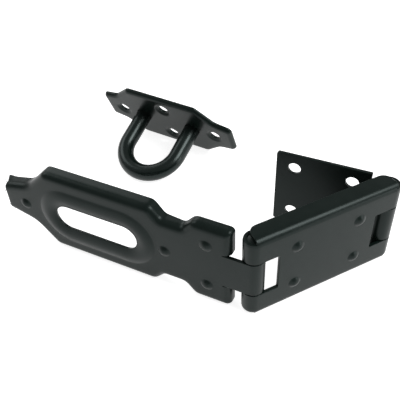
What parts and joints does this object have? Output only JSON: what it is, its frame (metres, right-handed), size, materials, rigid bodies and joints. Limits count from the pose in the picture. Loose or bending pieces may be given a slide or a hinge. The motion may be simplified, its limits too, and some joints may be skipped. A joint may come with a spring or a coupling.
{
  "type": "hinged hasp",
  "caption": "Black double-hinged hasp of pressed steel: flat screw leaf, channel link and long slotted arm, with a separate round-bar staple for a padlock.",
  "frame": {"origin": "centre of the four screw holes of the fixing leaf, on its mounting face", "axes": "+Y out of the leaf's mounting face into the wall or door, +X from the leaf's free end to its hinge, +Z upright along both hinge pins; the floor it stands on is at z = -22.5 mm"},
  "size_m": [0.1716, 0.1069, 0.045],
  "materials": {
    "coated_sheet": "satin black powder coat on pressed sheet steel",
    "coated_bar": "satin black powder coat on bent round bar",
    "coated_pin": "satin black powder coat on the ends of the hinge pins"
  },
  "bodies": {
    "leaf": {"fixing_leaf": "coated_sheet"},
    "link": {"link_plate": "coated_sheet", "fixing_hinge_pin": "coated_pin", "arm_hinge_pin": "coated_pin"},
    "arm": {"hasp_arm": "coated_sheet"},
    "staple": {"staple_plate": "coated_sheet", "staple_loop": "coated_bar"}
  },
  "joints": [
    {"name": "fixing_hinge", "type": "hinge", "parent": "leaf", "child": "link", "pos_m": [0.0293, -0.0048, 0], "axis": [0, 0, 1], "range_deg": [-51, 219]},
    {"name": "arm_hinge", "type": "hinge", "parent": "link", "child": "arm", "pos_m": [-0.01255, -0.05648, 0], "axis": [0, 0, 1], "range_deg": [-51.6, 143.4]},
    {"name": "staple_placing", "type": "slide", "parent": "arm", "child": "staple", "axis": [0.0419, 0.9991, 0], "range_m": [-0.03, 0.02]}
  ]
}
